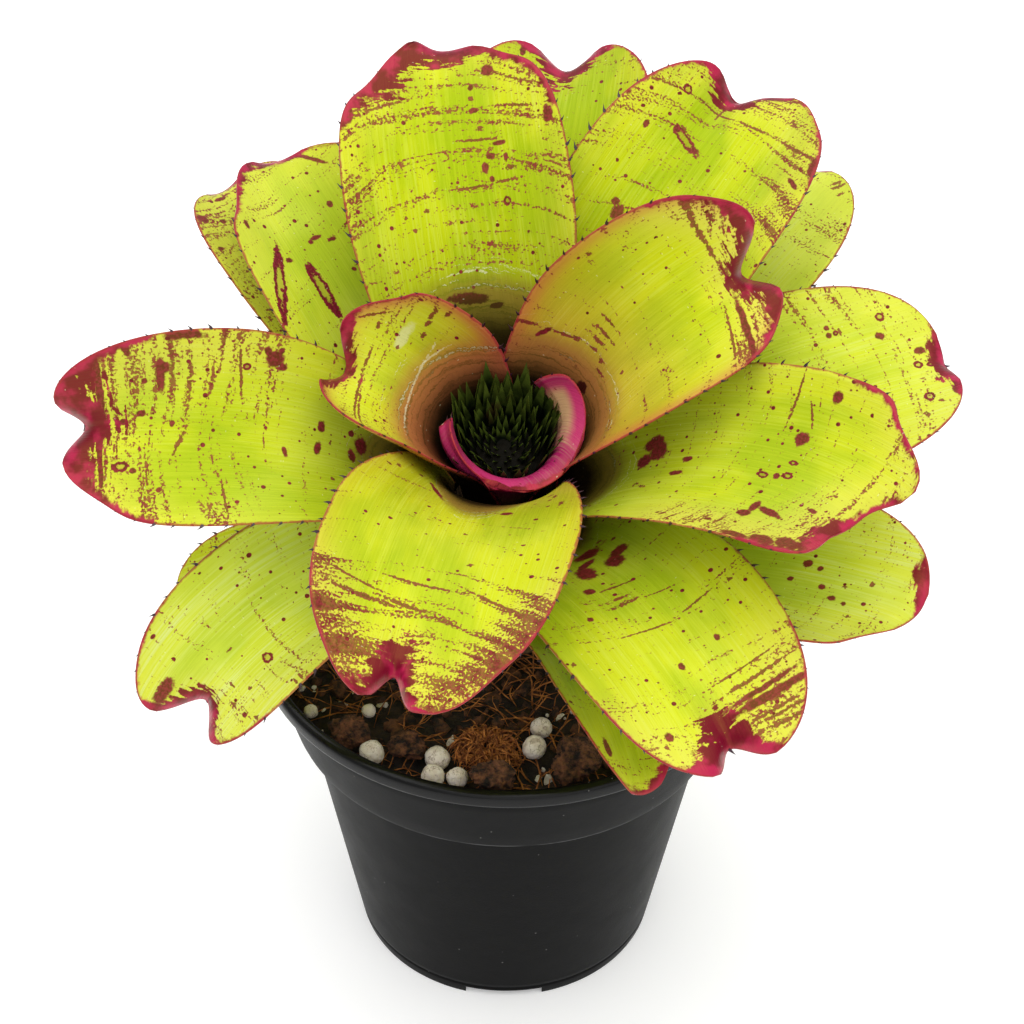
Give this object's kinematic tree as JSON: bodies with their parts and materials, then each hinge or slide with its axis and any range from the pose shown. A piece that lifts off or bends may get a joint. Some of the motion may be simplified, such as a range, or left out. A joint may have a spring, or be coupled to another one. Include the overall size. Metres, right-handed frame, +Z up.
{
  "type": "potted bromeliad",
  "caption": "Low funnel rosette of broad, blunt, spotted leaves around a water cup, growing from coarse mix in a round tapered nursery pot with a collar and rolled rim.",
  "frame": {"origin": "middle of the whole plant and pot seen from above, at the height of the pot's foot ring", "axes": "+Z up; -Y is the front, the side that the rosette leans towards"},
  "size_m": [0.2526, 0.2607, 0.2646],
  "materials": {
    "pot_plastic": "satin",
    "potting_mix": "matte",
    "stem": "matte",
    "leaf": "satin",
    "bract": "satin",
    "clay_ball": "matte",
    "husk": "matte",
    "coir": "matte"
  },
  "bodies": {
    "root": {"pot": "pot_plastic", "potting_mix": "potting_mix", "stem": "stem", "leaf_01": "leaf", "leaf_02": "leaf", "leaf_03": "leaf", "leaf_04": "leaf", "leaf_05": "leaf", "leaf_06": "leaf", "leaf_07": "leaf", "leaf_08": "leaf", "leaf_09": "leaf", "leaf_10": "leaf", "leaf_11": "leaf", "leaf_12": "leaf", "leaf_13": "leaf", "leaf_14": "leaf", "leaf_15": "leaf", "leaf_16": "leaf", "leaf_17": "leaf", "leaf_18": "leaf", "leaf_19": "leaf", "flower_cushion": "bract", "clay_ball_01": "clay_ball", "clay_ball_02": "clay_ball", "clay_ball_03": "clay_ball", "clay_ball_04": "clay_ball", "clay_ball_05": "clay_ball", "clay_ball_06": "clay_ball", "clay_ball_07": "clay_ball", "clay_ball_08": "clay_ball", "husk_01": "husk", "husk_02": "husk", "husk_03": "husk", "husk_04": "husk", "coir_tuft": "coir"}
  },
  "joints": []
}
